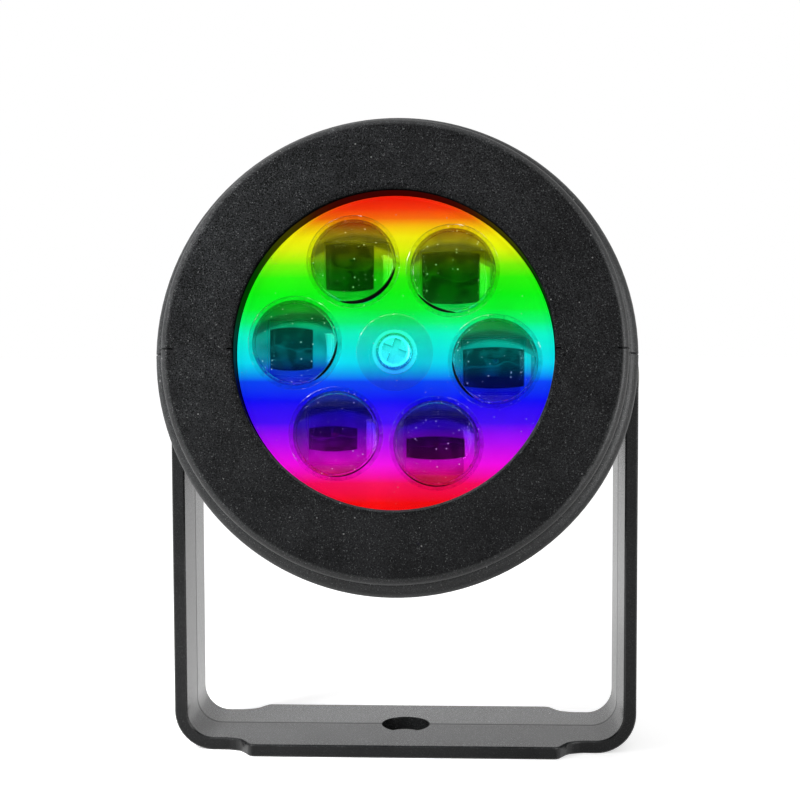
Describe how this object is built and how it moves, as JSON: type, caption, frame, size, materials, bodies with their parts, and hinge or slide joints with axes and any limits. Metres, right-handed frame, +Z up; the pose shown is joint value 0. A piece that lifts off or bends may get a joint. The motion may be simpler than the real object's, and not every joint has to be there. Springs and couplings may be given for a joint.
{
  "type": "projection lamp",
  "caption": "Rotating projection lamp: a round two-shell head with a turning lens plate, tilting in a moulded U bracket on a drilled foot.",
  "frame": {"origin": "middle of the bracket's foot, on the surface that it stands on", "axes": "+X to the right of someone facing the lamp, along the tilt axis; the lamp faces -Y; +Z up from the foot to the head"},
  "size_m": [0.114, 0.1229, 0.146],
  "materials": {
    "bracket_plastic": "fine matt moulded plastic",
    "casing_plastic": "grained matt moulded plastic",
    "black_steel": "blackened steel",
    "screw_steel": "zinc-plated steel",
    "washer_rubber": "matt rubber",
    "diffuser_sheet": "satin diffusing sheet, lit in bands of colour",
    "frame_plastic": "matt moulded plastic",
    "slide_glass": "dark patterned glass",
    "motor_steel": "drawn steel",
    "terminal_brass": "plain brass",
    "lens_clear": "polished clear lens",
    "board_white": "white solder resist",
    "led_package": "clear dome over phosphor",
    "sink_aluminium": "as extruded",
    "board_green": "green solder resist",
    "capacitor_sleeve": "shrink sleeve",
    "coil_ferrite": "ferrite",
    "chip_resin": "moulded resin",
    "socket_nylon": "natural nylon",
    "inlet_plastic": "smooth black plastic",
    "plate_clear": "polished clear acrylic",
    "hub_plastic": "natural acetal",
    "tinted_steel": "plated steel that takes the aqua of the glow"
  },
  "bodies": {
    "bracket": {"u_bracket": "bracket_plastic"},
    "head": {"upper_shell": "casing_plastic", "lower_shell": "casing_plastic", "casing_screws": "black_steel", "pivot_screws": "screw_steel", "pivot_nuts": "screw_steel", "friction_washers": "washer_rubber", "diffuser": "diffuser_sheet", "inner_frame": "frame_plastic", "pattern_slides": "slide_glass", "gearbox": "motor_steel", "motor_can": "motor_steel", "motor_terminals": "terminal_brass", "motor_screws": "screw_steel", "condenser_holder": "frame_plastic", "condenser_lenses": "lens_clear", "spacers": "terminal_brass", "led_board": "board_white", "leds": "led_package", "heat_sink": "sink_aluminium", "stack_screws": "screw_steel", "driver_board": "board_green", "driver_screws": "screw_steel", "capacitors": "capacitor_sleeve", "driver_coil": "coil_ferrite", "driver_chips": "chip_resin", "wire_sockets": "socket_nylon", "power_inlet": "inlet_plastic", "inlet_nut": "screw_steel"},
    "lens_rotor": {"lens_plate": "plate_clear", "projection_lenses": "lens_clear", "shaft_hub": "hub_plastic", "output_shaft": "motor_steel", "centre_washer": "tinted_steel", "centre_screw": "tinted_steel"}
  },
  "joints": [
    {"name": "head_tilt", "type": "hinge", "parent": "bracket", "child": "head", "pos_m": [0, 0, 0.0898], "axis": [1, 0, 0], "range_deg": [-82.5, 97.5]},
    {"name": "lens_spin", "type": "hinge", "parent": "head", "child": "lens_rotor", "pos_m": [0, 0, 0.0898], "axis": [0, -0.9914, 0.1305], "continuous": true}
  ]
}
